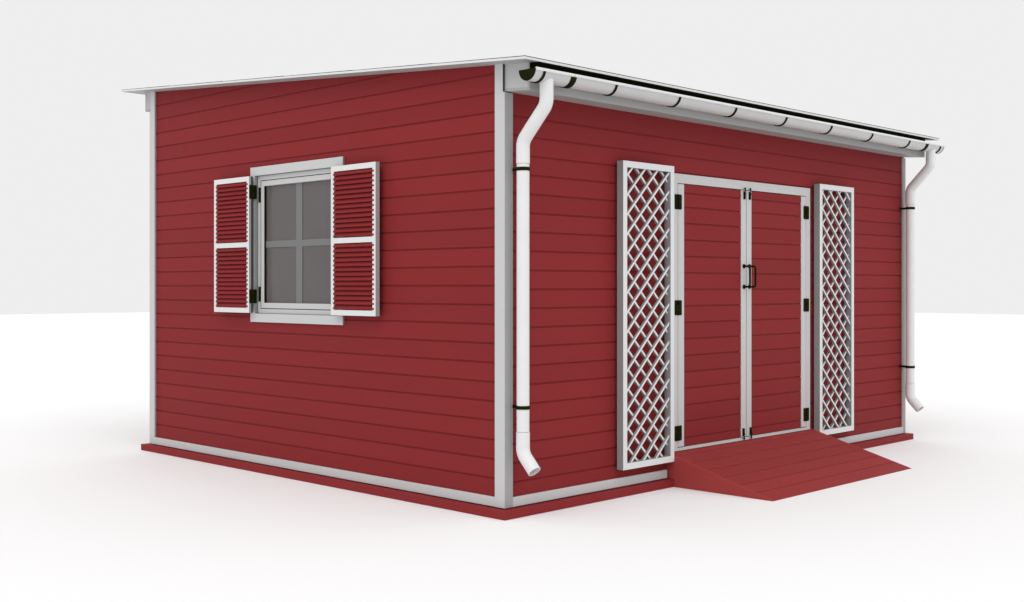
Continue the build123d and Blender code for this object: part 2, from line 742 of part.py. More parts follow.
def leaf_bolt(side, z, way):
    """A shoot bolt: a slim plate on the stile, and a knobbed rod that passes the frame."""
    x = side * BOLT_FROM_MIDDLE[way]
    inner, tip = z if way > 0 else (z[1], z[0])
    plate_end = inner + way * 70
    rod_y_axis = DOOR_FACE - BOLT_OFF_FACE
    plate = block((x - 7, x + 7), (DOOR_FACE - 4, DOOR_FACE), (inner, plate_end))
    carrier = block((x - 4, x + 4), (rod_y_axis, DOOR_FACE), (inner + way * 6, plate_end - way * 6))
    knobs = [Pos(x, rod_y_axis, height) * Sphere(BOLT_KNOB) for height in (inner + way * 48, tip - way * BOLT_KNOB)]
    return joined([plate, carrier, upright_rod(x, rod_y_axis, z, BOLT_ROD), *knobs])


def leaf_bolts(side):
    return apart([leaf_bolt(side, BOLT_BOTTOM, -1), leaf_bolt(side, BOLT_TOP, 1)])


# ---------------------------------------------------------------- window
def window_casing():
    """Boards on the siding, with a lip round the hole."""
    z = (WINDOW_BOTTOM, WINDOW_TOP)
    boards = ring_in_left_wall(WINDOW_HALF, z, (LEFT - TRIM, LEFT), (CASING_BOARD, CASING_HEAD, CASING_SILL))
    lip_z = (CASING_BOTTOM - CASING_LIP, CASING_TOP + CASING_LIP)
    lip_depth = (LEFT, LEFT + WINDOW_RECESS)
    return boards + ring_in_left_wall(CASING_HALF + CASING_LIP, lip_z, lip_depth, [CASING_LIP] * 3)


def window_frame():
    depth = (LEFT + WINDOW_RECESS, LEFT + WALL)
    widths = (FRAME_STILE, FRAME_RAIL, FRAME_RAIL)
    return ring_in_left_wall(CASING_HALF, (CASING_BOTTOM, CASING_TOP), depth, widths)


def window_sash():
    depth = (LEFT + WINDOW_RECESS, LEFT + WINDOW_RECESS + SASH)
    z = (CASING_BOTTOM + FRAME_RAIL, CASING_TOP - FRAME_RAIL)
    return ring_in_left_wall(CASING_HALF - FRAME_STILE, z, depth, (SASH_STILE, SASH_HEAD, SASH_FOOT))


def window_glass():
    half = CASING_HALF - FRAME_STILE - SASH_STILE
    y = (WINDOW_CENTRE - half, WINDOW_CENTRE + half)
    z = (CASING_BOTTOM + FRAME_RAIL + SASH_FOOT, CASING_TOP - FRAME_RAIL - SASH_HEAD)
    back = LEFT + WINDOW_RECESS + SASH - GLASS_INSET
    return block((back - GLASS, back), y, z)


# ---------------------------------------------------------------- shutters
def shutter_place(end):
    """Pin and the (hinge edge, outer edge) of an open shutter; end is 1 for the far one."""
    pin = WINDOW_CENTRE + end * SHUTTER_PIN_HALF
    hinge_edge = pin + end * SHUTTER_PIN_GAP
    return pin, (hinge_edge, hinge_edge + end * SHUTTER_WIDTH)


def shutter_rails():
    """The (low, high) heights of the three rails."""
    return (
        (SHUTTER_BOTTOM, SHUTTER_BOTTOM + SHUTTER_RAIL),
        SHUTTER_MID_RAIL,
        (SHUTTER_TOP - SHUTTER_RAIL, SHUTTER_TOP),
    )


def shutter_openings(end):
    """The two louvred openings, as (y, z) pairs."""
    hinge_edge, outer_edge = shutter_place(end)[1]
    y = sorted((hinge_edge + end * SHUTTER_STILE, outer_edge - end * SHUTTER_STILE))
    rails = shutter_rails()
    return [(y, (rails[0][1], rails[1][0])), (y, (rails[1][1], rails[2][0]))]


def shutter_frame(end):
    x = (SHUTTER_PIN_X - SHUTTER, SHUTTER_PIN_X)
    frame = block(x, shutter_place(end)[1], (SHUTTER_BOTTOM, SHUTTER_TOP))
    for y, z in shutter_openings(end):
        frame -= block((x[0] - 1, x[1] + 1), y, z)
    return frame


def shutter_louvres(end):
    front = SHUTTER_PIN_X - SHUTTER + (SHUTTER - LOUVRE_PANEL) / 2
    return apart([block((front, front + LOUVRE_PANEL), y, z) for y, z in shutter_openings(end)])


def shutter_hinges(end):
    """Plates on the shutter's hinge edge, with the middle of each knuckle."""
    pin, (hinge_edge, _) = shutter_place(end)
    plate = (hinge_edge, hinge_edge - end * SHUTTER_HINGE_PLATE)
    pieces = []
    for height in SHUTTER_HINGE_HEIGHTS:
        low = height - SHUTTER_HINGE_TALL / 2
        third = SHUTTER_HINGE_TALL / 3
        z = (low, low + SHUTTER_HINGE_TALL)
        knuckle_z = (low + third + 0.5, low + 2 * third - 0.5)
        flat = block((SHUTTER_PIN_X - SHUTTER, SHUTTER_PIN_X - SHUTTER_KNUCKLE - 1), plate, z)
        arm_x = (SHUTTER_PIN_X - SHUTTER_KNUCKLE - 1, SHUTTER_PIN_X - 1)
        arm = block(arm_x, (hinge_edge, pin), knuckle_z)
        pieces.append(joined([flat, arm, upright_rod(SHUTTER_PIN_X, pin, knuckle_z, SHUTTER_KNUCKLE)]))
    return apart(pieces)


def shutter_jamb_plate(end, height):
    """The fixed half: a plate on the casing's edge and the two ends of the knuckle."""
    pin = shutter_place(end)[0]
    reveal = WINDOW_CENTRE + end * CASING_HALF
    low = height - SHUTTER_HINGE_TALL / 2
    third = SHUTTER_HINGE_TALL / 3
    plate_y = (reveal, reveal - end * SHUTTER_HINGE_PLATE)
    flat = block((SHUTTER_PIN_X + 4, LEFT), plate_y, (low, low + SHUTTER_HINGE_TALL))
    pieces = [flat]
    for start, stop in ((0, 1), (2, 3)):
        z = (low + start * third + 0.5, low + stop * third - 0.5)
        arm_x = (SHUTTER_PIN_X + 1, SHUTTER_PIN_X + 4.5)
        pieces.append(block(arm_x, (plate_y[0], pin), z))
        pieces.append(upright_rod(SHUTTER_PIN_X, pin, z, SHUTTER_KNUCKLE))
    return joined(pieces)


def fixed_hinge_plates():
    """The jamb halves of the door hinges and of the shutter hinges."""
    doors = [hinge_half(side, height, False) for side in SIDES for height in HINGE_HEIGHTS]
    shutters = [shutter_jamb_plate(end, height) for end in SIDES for height in SHUTTER_HINGE_HEIGHTS]
    return apart(doors + shutters)


# ---------------------------------------------------------------- write every node
def both_pipes(shape):
    """The same pipe piece at both ends of the front."""
    return apart([Pos(side * PIPE_X, 0, 0) * shape for side in SIDES])


NODES = {
    "base_platform": base_platform(),
    "floor_deck": floor_deck(),
    "left_wall": left_wall(),
    "right_wall": right_wall(),
    "back_wall": back_wall(),
    "front_wall_left": front_wall_side(-1),
    "front_wall_right": front_wall_side(1),
    "front_wall_over_door": front_wall_over_door(),
    "threshold_beam": threshold_beam(),
    "left_siding": left_siding(),
    "right_siding": right_siding(),
    "back_siding": back_siding(),
    "front_siding": front_siding(),
    "base_trims": base_trims(),
    "corner_trims": corner_trims(),
    "rafters": rafters(),
    "roof_deck": roof_deck(),
    "roof_sheet": roof_sheet(),
    "eave_fascias": apart([eave_fascia(end) for end in SIDES]) - eave_drip_strip(),
    "eave_soffits": apart([eave_soffit(end) for end in SIDES]),
    "eave_end_boards": apart([eave_end_board(side, end) for side in SIDES for end in SIDES]),
    "eave_drip_strip": eave_drip_strip(),
    "gutter": gutter(),
    "gutter_end_caps": gutter_end_caps(),
    "gutter_joint_rings": gutter_joint_rings(),
    "gutter_brackets": gutter_brackets(),
    "downpipe_neck_bends": apart([both_pipes(bend) for bend in neck_bends()]),
    "downpipe_neck_slopes": both_pipes(neck_slope()),
    "downpipe_straights": both_pipes(straight_pipe()),
    "downpipe_shoes": both_pipes(pipe_shoe()),
    "pipe_clamps": pipe_clamps(),
    "trellis_frame_left": trellis_frame(-1),
    "trellis_frame_right": trellis_frame(1),
    "trellis_lattice_left": trellis_lattice(-1),
    "trellis_lattice_right": trellis_lattice(1),
    "ramp_deck": ramp_deck(),
    "ramp_stringers": ramp_stringers(),
    "door_frame": door_frame(),
    "window_casing": window_casing(),
    "window_frame": window_frame(),
    "window_sash": window_sash(),
    "window_glass": window_glass(),
    "fixed_hinge_plates": fixed_hinge_plates(),
}
for name, side in (("left", -1), ("right", 1)):
    NODES[f"door_{name}_panel"] = leaf_panel(side)
    NODES[f"door_{name}_stiles"] = leaf_stiles(side)
    NODES[f"door_{name}_hinges"] = leaf_hinges(side)
    NODES[f"door_{name}_handle"] = leaf_handle(side)
    NODES[f"door_{name}_bolts"] = leaf_bolts(side)
for name, end in (("left", 1), ("right", -1)):
    NODES[f"shutter_{name}_frame"] = shutter_frame(end)
    NODES[f"shutter_{name}_louvres"] = shutter_louvres(end)
    NODES[f"shutter_{name}_hinges"] = shutter_hinges(end)

os.makedirs("parts", exist_ok=True)
for name, shape in NODES.items():
    export_step(shape, f"parts/{name}.step")
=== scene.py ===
import math
import random

import bmesh
import bpy
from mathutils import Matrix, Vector


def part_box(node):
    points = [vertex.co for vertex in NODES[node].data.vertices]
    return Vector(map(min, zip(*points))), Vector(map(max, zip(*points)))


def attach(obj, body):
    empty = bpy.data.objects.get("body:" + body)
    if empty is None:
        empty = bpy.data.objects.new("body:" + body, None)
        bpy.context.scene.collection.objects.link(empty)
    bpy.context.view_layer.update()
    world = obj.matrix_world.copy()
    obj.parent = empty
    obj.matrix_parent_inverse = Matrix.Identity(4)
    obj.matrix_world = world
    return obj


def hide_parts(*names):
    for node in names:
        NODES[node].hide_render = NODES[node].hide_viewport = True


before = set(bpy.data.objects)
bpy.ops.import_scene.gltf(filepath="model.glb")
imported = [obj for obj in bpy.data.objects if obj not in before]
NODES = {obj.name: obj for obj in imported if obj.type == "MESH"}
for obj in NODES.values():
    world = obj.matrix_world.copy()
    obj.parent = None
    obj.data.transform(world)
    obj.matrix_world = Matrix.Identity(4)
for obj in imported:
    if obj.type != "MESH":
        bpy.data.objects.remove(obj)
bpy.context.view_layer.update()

# Looks of a lean-to garden shed, in metres, in the frame of the CAD model: +X right along
# the front wall, +Y into the building, +Z up, the origin on the ground under its middle.

ROOT = "shed"                   # the body that everything fixed rides on
SIDES = ("left", "right")
RANDOM = random.Random(7)

# ---------------------------------------------------------------- sizes
LEFT_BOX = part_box("left_siding")
FRONT_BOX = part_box("front_siding")
WALL_X = -LEFT_BOX[0].x
WALL_Y = LEFT_BOX[1].y
WALL_BOTTOM = LEFT_BOX[0].z
BOARDS_ALONG_FRONT = 44         # the front wall is this many board widths long
PITCH = 2 * WALL_X / BOARDS_ALONG_FRONT
SIDE_OFFSET = 0.486             # first board joint above the wall's foot, in boards
FRONT_OFFSET = 0.290            # the same on the front and back walls
DOOR_OFFSET = 0.258
DOOR_TOP_BOARD = 0.073          # narrow board at the head of each door
DOOR_SECOND_BOARD = 0.116
GROOVE = 0.011                  # width of the groove between two boards
GROOVE_DEPTH = 0.008
CHAMFER = 0.002
SKIN = 0.0002                   # how far an added piece stands off the face behind it
HINGE_BARREL = 0.0167           # part of a door hinge's width that its barrel takes
ROOF_SLOPE = (LEFT_BOX[1].z - FRONT_BOX[1].z) / (LEFT_BOX[1].y - FRONT_BOX[1].y)


# ---------------------------------------------------------------- materials
class Graph:
    """One node material, with short ways to add and join nodes."""

    def __init__(self, name):
        self.material = bpy.data.materials.new(name)
        self.material.use_nodes = True
        self.tree = self.material.node_tree
        self.shader = self.tree.nodes["Principled BSDF"]

    def add(self, kind, **settings):
        """A new node with some of its properties set."""
        made = self.tree.nodes.new(kind)
        for key, value in settings.items():
            setattr(made, key, value)
        return made

    def join(self, output, socket):
        self.tree.links.new(output, socket)

    def set(self, **values):
        """Fixed values for the shader's inputs, with _ for a space in the name."""
        for key, value in values.items():
            self.shader.inputs[key.replace("_", " ")].default_value = value

    def noise(self, stretch, detail=4.0, roughness=0.55):
        """Noise in object coordinates, with stretch as repeats per metre along X, Y and Z."""
        where = self.add("ShaderNodeTexCoord")
        mapping = self.add("ShaderNodeMapping")
        mapping.inputs["Scale"].default_value = stretch
        noise = self.add("ShaderNodeTexNoise")
        noise.inputs["Scale"].default_value = 1.0
        noise.inputs["Detail"].default_value = detail
        noise.inputs["Roughness"].default_value = roughness
        self.join(where.outputs["Object"], mapping.inputs["Vector"])
        self.join(mapping.outputs["Vector"], noise.inputs["Vector"])
        return noise.outputs["Fac"]

    def math(self, operation, first, second):
        """A Math node; second may be a number or a socket."""
        made = self.add("ShaderNodeMath", operation=operation)
        for socket, value in zip(made.inputs, (first, second)):
            if isinstance(value, (int, float)):
                socket.default_value = value
            else:
                self.join(value, socket)
        return made.outputs[0]

    def mix(self, factor, dark, light):
        """A colour between two, by a factor socket."""
        made = self.add("ShaderNodeMix", data_type="RGBA")
        self.join(factor, made.inputs[0])
        for socket, value in ((made.inputs[6], dark), (made.inputs[7], light)):
            if hasattr(value, "is_output"):
                self.join(value, socket)
            else:
                socket.default_value = (*value, 1.0)
        return made.outputs[2]

    def tint(self):
        """Each face's own shift in colour, stored on the mesh."""
        return self.add("ShaderNodeAttribute", attribute_name="tint").outputs["Fac"]

    def colour(self, output):
        self.join(output, self.shader.inputs["Base Color"])

    def roughness(self, pattern, share, base):
        """Roughness that rises from base by a share of a pattern."""
        rough = self.math("ADD", self.math("MULTIPLY", pattern, share), base)
        self.join(rough, self.shader.inputs["Roughness"])

    def facing(self, axis):
        """1 on faces that look along an axis, either way, and 0 on the others."""
        where = self.add("ShaderNodeTexCoord")
        split = self.add("ShaderNodeSeparateXYZ")
        self.join(where.outputs["Normal"], split.inputs[0])
        size = self.math("ABSOLUTE", split.outputs["XYZ".index(axis)], 0.0)
        return self.math("GREATER_THAN", size, 0.75)

    def bump(self, height, strength, distance):
        """Small relief from a height socket."""
        made = self.add("ShaderNodeBump")
        made.inputs["Strength"].default_value = strength
        made.inputs["Distance"].default_value = distance
        self.join(height, made.inputs["Height"])
        self.join(made.outputs["Normal"], self.shader.inputs["Normal"])


def shade(colour, amount):
    """A colour made lighter or darker by a share."""
    return tuple(channel * (1 + amount) for channel in colour)


def painted_wood(name, colour, grain, roughness, spread=0.10, bump=0.25, edges=None):
    """Paint over planed boards: fine grain along one axis, and each board a little different.

    edges is (axis, colour): painted light and shade, a second colour for the faces that look away from
    that axis, darker or lighter for how light falls on those sides.
    """
    graph = Graph(name)
    fine = [110.0, 110.0, 110.0]
    fine["XYZ".index(grain)] = 3.5
    lines = graph.noise(fine, detail=5.0)
    patches = graph.noise((1.6, 1.6, 1.6), detail=3.0)
    factor = graph.math("ADD", graph.math("MULTIPLY", lines, 0.45), graph.math("MULTIPLY", patches, 0.55))
    factor = graph.math("ADD", factor, graph.tint())
    colours = graph.mix(factor, shade(colour, -spread), shade(colour, spread))
    # Painted light and shade: the faces that look away from the axis take their own colour.
    if edges:
        axis, side_shading_colour = edges
        facing = graph.facing(axis)
        side_shading_colours = graph.mix(factor, shade(side_shading_colour, -spread), shade(side_shading_colour, spread))
        colours = graph.mix(facing, side_shading_colours, colours)
    graph.colour(colours)
    graph.roughness(patches, 0.16, roughness - 0.08)
    graph.set(Specular_IOR_Level=PAINT_SHINE)
    graph.bump(lines, bump, 0.0012)
    return graph.material


def white_paint(name, colour, grain, edges=None, spread=0.04, bump=0.15):
    """Painted wood with little grain showing, for the trims."""
    return painted_wood(name, colour, grain, 0.5, spread, bump, edges)


def bare_timber(name, colour, grain, roughness):
    """Unpainted planed timber with darker rings."""
    graph = Graph(name)
    fine = [60.0, 60.0, 60.0]
    fine["XYZ".index(grain)] = 1.6
    rings = graph.noise(fine, detail=6.0, roughness=0.65)
    factor = graph.math("ADD", rings, graph.tint())
    graph.colour(graph.mix(factor, shade(colour, -0.35), shade(colour, 0.25)))
    graph.set(Roughness=roughness)
    graph.bump(rings, 0.3, 0.001)
    return graph.material


def moulded_plastic(name, colour, roughness):
    """White gutter plastic with a faint ripple and light dust."""
    graph = Graph(name)
    dust = graph.noise((7.0, 7.0, 7.0), detail=4.0)
    ripple = graph.noise((160.0, 160.0, 160.0), detail=2.0)
    graph.colour(graph.mix(dust, shade(colour, -0.05), shade(colour, 0.03)))
    graph.roughness(dust, 0.15, roughness)
    graph.set(Specular_IOR_Level=0.3)
    graph.bump(ripple, 0.06, 0.0006)
    return graph.material


def black_metal(name, colour, roughness):
    """Powder-coated ironwork."""
    graph = Graph(name)
    grit = graph.noise((420.0, 420.0, 420.0), detail=2.0)
    wear = graph.noise((23.0, 23.0, 23.0), detail=4.0)
    graph.colour(graph.mix(wear, shade(colour, -0.3), shade(colour, 0.5)))
    graph.roughness(wear, 0.2, roughness)
    graph.set(Specular_IOR_Level=0.04)
    graph.bump(grit, 0.15, 0.0004)
    return graph.material


def roofing_felt(name, colour):
    """Mineral felt with coarse grit."""
    graph = Graph(name)
    grit = graph.noise((330.0, 330.0, 330.0), detail=3.0, roughness=0.7)
    patches = graph.noise((1.1, 1.1, 1.1), detail=3.0)
    factor = graph.math("ADD", graph.math("MULTIPLY", grit, 0.5), graph.math("MULTIPLY", patches, 0.5))
    factor = graph.math("ADD", factor, graph.tint())
    graph.colour(graph.mix(factor, shade(colour, -0.35), shade(colour, 0.3)))
    graph.set(Roughness=0.9)
    graph.bump(grit, 0.5, 0.001)
    return graph.material


def tinted_glass(name, colour, alpha):
    """Grey window glass with the faintest unevenness."""
    graph = Graph(name)
    flow = graph.noise((2.2, 2.2, 2.2), detail=2.0)
    graph.colour(graph.mix(flow, shade(colour, -0.06), shade(colour, 0.06)))
    graph.set(Roughness=0.06, Alpha=alpha, Specular_IOR_Level=0.2)
    graph.bump(flow, 0.03, 0.001)
    return graph.material


PAINT_SHINE = 0.08              # specular level of flat exterior paint
RED = (0.228, 0.0225, 0.0245)
WHITE = (0.55, 0.55, 0.55)
BRIGHT = (0.70, 0.705, 0.705)
# Painted shade: the grey of the trellis's sides.
SHADED = (0.30, 0.31, 0.31)
# Painted shade: a grey that stands for the white eave box in the shade of the roof overhang.
EAVE_SHADE_GREY = (0.38, 0.38, 0.38)
RED_BOARDS_Y = painted_wood("red_boards_along_y", RED, "Y", 0.6)
RED_BOARDS_X = painted_wood("red_boards_along_x", RED, "X", 0.6)
PLATFORM_RED = painted_wood("platform_red", (0.240, 0.025, 0.028), "X", 0.6)
RAMP_RED = painted_wood("ramp_red", (0.290, 0.038, 0.038), "X", 0.65, spread=0.12, bump=0.4)
# Painted light: the ramp's cheeks are a lighter red than its boards, for the light on the ramp's side.
RAMP_SIDE_LIT_RED = painted_wood("ramp_side_lit_red", (0.34, 0.050, 0.048), "Y", 0.6, spread=0.08)
WHITE_UPRIGHT = white_paint("white_paint_upright", WHITE, "Z")
WHITE_ALONG_X = white_paint("white_paint_along_x", WHITE, "X")
# Painted shade: the casing's reveals and edges are dark grey, for the shade in the window's recess.
CASING_WHITE = white_paint("casing_shaded_white", WHITE, "Y", edges=("X", (0.26, 0.26, 0.26)))
# Painted shade: the eave box and its end boards are darker than the trims' white, for the shade under the
# overhang.
EAVE_WHITE = white_paint("eave_shaded_white", EAVE_SHADE_GREY, "X")
EAVE_END_WHITE = white_paint("eave_end_shaded_white", (0.48, 0.48, 0.48), "Y")
# Painted shade: the deck is grey on its top and underside, for the shade under the overhang, and bright
# white on its edges.
DECK_SHADED_WHITE = white_paint("deck_shaded_white", (0.42, 0.42, 0.42), "X", edges=("Z", BRIGHT))
# Painted shade: the shutters' edges are grey while their faces stay bright, for the shade on their sides.
SHUTTER_SIDE_SHADE = ("X", (0.36, 0.36, 0.36))
SHUTTER_WHITE = white_paint("shutter_shaded_white", BRIGHT, "Z", SHUTTER_SIDE_SHADE, spread=0.03, bump=0.12)
# Painted shade: the trellis's front and back stay bright white and its other faces take SHADED grey, for
# the shade on its sides.
TRELLIS_WHITE = white_paint("trellis_shaded_white", BRIGHT, "Z", ("Y", SHADED), spread=0.03, bump=0.12)
# Painted shade: the corner boards' front and back faces are grey while their side faces stay white, for
# the shade on them.
CORNER_WHITE = white_paint("corner_shaded_white", WHITE, "Z", edges=("X", (0.35, 0.35, 0.35)))
GREY_BARS = white_paint("glazing_bar_grey", (0.185, 0.190, 0.187), "Z", spread=0.03, bump=0.12)
# Painted shade: the dark grey of strips that stand for shadow lines and shaded gaps.
SHADE_STRIP_GREY = painted_wood("painted_shade_grey", (0.055, 0.055, 0.055), "Z", 0.6, spread=0.05, bump=0.1)
WALL_TIMBER = bare_timber("wall_timber", (0.50, 0.38, 0.25), "X", 0.7)
FLOOR_TIMBER = bare_timber("floor_timber", (0.36, 0.25, 0.15), "X", 0.6)
GUTTER_WHITE = moulded_plastic("gutter_white", (0.54, 0.54, 0.54), 0.3)
PIPE_WHITE = moulded_plastic("pipe_white", (0.74, 0.74, 0.74), 0.3)
BLACK = black_metal("black_ironwork", (0.009, 0.011, 0.0006), 0.5)
FELT = roofing_felt("roofing_felt", (0.055, 0.055, 0.058))
GLASS = tinted_glass("window_glass", (0.150, 0.136, 0.134), 0.8)


# ---------------------------------------------------------------- mesh helpers
def finished(bm, name, material, body):
    """Turns a bmesh into a piece that rides on a body."""
    bmesh.ops.recalc_face_normals(bm, faces=bm.faces)
    mesh = bpy.data.meshes.new(name)
    bm.to_mesh(mesh)
    bm.free()
    mesh.materials.append(material)
    piece = bpy.data.objects.new(name, mesh)
    bpy.context.scene.collection.objects.link(piece)
    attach(piece, body)
    return piece


def new_bmesh():
    """An empty bmesh whose faces can carry a tint."""
    bm = bmesh.new()
    bm.faces.layers.float.new("tint")
    return bm


def along_x(u, depth, height):
    """Places an outline drawn in Y and Z, run along X."""
    return (u, depth, height)


def run_outline(bm, outline, place, u, tint=0.0):
    """Runs an outline of (depth, height) points from u[0] to u[1], as one closed solid."""
    layer = bm.faces.layers.float["tint"]
    ends = [[bm.verts.new(place(end, depth, height)) for depth, height in outline] for end in u]
    count = len(outline)
    faces = [bm.faces.new(ends[0]), bm.faces.new(ends[1])]
    for step in range(count):
        after = (step + 1) % count
        corners = (ends[0][step], ends[0][after], ends[1][after], ends[1][step])
        faces.append(bm.faces.new(corners))
    for face in faces:
        face[layer] = tint


def add_block(bm, x, y, z, tint=0.0):
    """A closed box from three (low, high) pairs."""
    outline = [(y[0], z[0]), (y[1], z[0]), (y[1], z[1]), (y[0], z[1])]
    run_outline(bm, outline, along_x, x, tint)


def bevel(piece, width):
    """Rounds a piece's sharp edges."""
    weld = piece.modifiers.new("weld", "WELD")
    weld.merge_threshold = 0.00001
    made = piece.modifiers.new("bevel", "BEVEL")
    made.width = width
    made.segments = 2
    made.limit_method = "ANGLE"
    made.angle_limit = math.radians(35)
    made.use_clamp_overlap = True


def lathe(bm, points, place, steps):
    """Turns (radius, height) points round an axis; place maps (x, y, height) to the frame."""
    rings = []
    for radius, height in points:
        ring = []
        for step in range(steps):
            angle = 2 * math.pi * step / steps
            point = place(radius * math.cos(angle), radius * math.sin(angle), height)
            ring.append(bm.verts.new(point))
        rings.append(ring)
    faces = [bm.faces.new(rings[0]), bm.faces.new(rings[-1])]
    for lower, upper in zip(rings, rings[1:]):
        for step in range(steps):
            after = (step + 1) % steps
            faces.append(bm.faces.new((lower[step], lower[after], upper[after], upper[step])))
    for face in faces:
        face.smooth = True


def smooth(piece):
    """Smooth shading that keeps the sharp edges."""
    for face in piece.data.polygons:
        face.use_smooth = True
    piece.data.set_sharp_from_angle(angle=math.radians(40))


def levels(node, axis):
    """The different coordinates of a CAD node's corners along an axis, in order."""
    return sorted({round(vertex.co[axis], 4) for vertex in NODES[node].data.vertices})


# ---------------------------------------------------------------- boards
def board_outline(low, high, thickness, joint_low, joint_high, two_faced):
    """A board's cross-section as (depth, height), with half a groove at each joint."""
    half = GROOVE / 2
    lower = [(0, low)]
    upper = [(0, high)]
    if joint_low:
        edge = low + half
        lower = [(GROOVE_DEPTH, low), (GROOVE_DEPTH, edge), (CHAMFER, edge), (0, edge + CHAMFER)]
    if joint_high:
        edge = high - half
        upper = [(0, edge - CHAMFER), (CHAMFER, edge), (GROOVE_DEPTH, edge), (GROOVE_DEPTH, high)]
    if not two_faced:
        return lower + upper + [(thickness, high), (thickness, low)]
    back_upper = [(thickness - depth, height) for depth, height in reversed(upper)]
    back_lower = [(thickness - depth, height) for depth, height in reversed(lower)]
    return lower + upper + back_upper + back_lower


def board_rows(low, high, offset, last_joint=math.inf):
    """(low, high, joint below, joint above) of each board between two heights."""
    joint = WALL_BOTTOM + offset * PITCH
    while joint <= low + GROOVE:
        joint += PITCH
    edges = [low]
    while joint < min(high - GROOVE, last_joint):
        edges.append(joint)
        joint += PITCH
    edges.append(high)
    top = len(edges) - 2
    return [(edges[i], edges[i + 1], i > 0, i < top) for i in range(top + 1)]


def board_spans(row, u, hole):
    """The stretches of one board that a hole leaves, as (u pair, row)."""
    low, high, joint_low, joint_high = row
    if hole is None or high <= hole[1][0] or low >= hole[1][1]:
        return [(u, row)]
    spans = [((u[0], hole[0][0]), row), ((hole[0][1], u[1]), row)]
    if low < hole[1][0]:
        spans.append((hole[0], (low, hole[1][0], joint_low, False)))
    if high > hole[1][1]:
        spans.append((hole[0], (hole[1][1], high, False, joint_high)))
    return spans


def add_rows(bm, place, u, rows, thickness, hole=None, two_faced=False):
    """Lays one board for each (low, high, joint below, joint above) row."""
    seam = 0.0002
    for row in rows:
        tint = RANDOM.uniform(-0.22, 0.22)
        for span, (low, high, joint_low, joint_high) in board_spans(row, u, hole):
            outline = board_outline(low, high - seam, thickness, joint_low, joint_high, two_faced)
            run_outline(bm, outline, place, span, tint)


def cut_under_roof(bm):
    """Trims everything to the underside of the roof deck."""
    geometry = list(bm.verts) + list(bm.edges) + list(bm.faces)
    point = (0, FRONT_BOX[1].y, FRONT_BOX[1].z)
    cut = bmesh.ops.bisect_plane(
        bm, geom=geometry, plane_co=point, plane_no=(0, -ROOF_SLOPE, 1), clear_outer=True
    )
    rims = [item for item in cut["geom_cut"] if isinstance(item, bmesh.types.BMEdge)]
    bmesh.ops.holes_fill(bm, edges=rims, sides=0)


def outward_place(wall):
    """Maps (along the wall, depth behind its face, height) to the frame."""
    if wall == "left":
        return lambda u, depth, height: (-WALL_X + depth, u, height)
    if wall == "right":
        return lambda u, depth, height: (WALL_X - depth, u, height)
    if wall == "front":
        return lambda u, depth, height: (u, -WALL_Y + depth, height)
    return lambda u, depth, height: (u, WALL_Y - depth, height)


def wall_boards(wall, u, offset, material, hole=None, last_joint=math.inf):
    """Separate boards in place of one wall's plain siding."""
    node = f"{wall}_siding"
    low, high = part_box(node)
    bm = new_bmesh()
    thickness = min(high.x - low.x, high.y - low.y)
    rows = board_rows(low.z, high.z, offset, last_joint)
    add_rows(bm, outward_place(wall), u, rows, thickness, hole)
    cut_under_roof(bm)
    piece = finished(bm, f"{wall}_wall_boards", material, ROOT)
    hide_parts(node)


def siding():
    """The boarding of all four walls, with holes for the window and the doors."""
    along = levels("left_siding", 1)
    up = levels("left_siding", 2)
    window = ((along[1], along[-2]), (up[1], up[2]))
    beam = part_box("threshold_beam")
    door = ((beam[0].x, beam[1].x), (WALL_BOTTOM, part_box("front_wall_over_door")[0].z))
    wall_boards("left", (-WALL_Y, WALL_Y), SIDE_OFFSET, RED_BOARDS_Y, window)
    wall_boards("right", (-WALL_Y, WALL_Y), SIDE_OFFSET, RED_BOARDS_Y)
    inner_x = FRONT_BOX[1].x
    under_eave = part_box("eave_soffits")[0].z - PITCH / 3
    wall_boards("front", (-inner_x, inner_x), FRONT_OFFSET, RED_BOARDS_X, door, under_eave)
    wall_boards("back", (-inner_x, inner_x), FRONT_OFFSET, RED_BOARDS_X)


def door_boards(name):
    """Boards in place of one door's plain panel, with two narrow ones at the head."""
    node = f"door_{name}_panel"
    low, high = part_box(node)
    bm = new_bmesh()
    place = lambda u, depth, height: (u, low.y + depth, height)
    second = high.z - DOOR_TOP_BOARD
    first = second - DOOR_SECOND_BOARD
    rows = board_rows(low.z, first, DOOR_OFFSET)
    rows[-1] = (*rows[-1][:3], True)
    rows += [(first, second, True, True), (second, high.z, True, False)]
    add_rows(bm, place, (low.x, high.x), rows, high.y - low.y, two_faced=True)
    piece = finished(bm, f"door_{name}_boards", RED_BOARDS_X, f"door_{name}")
    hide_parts(node)


# ---------------------------------------------------------------- ramp and floor
RAMP_BOARD = 0.1516
RAMP_FIRST_BOARD = 0.168        # at the toe
RAMP_CHEEK = 0.022


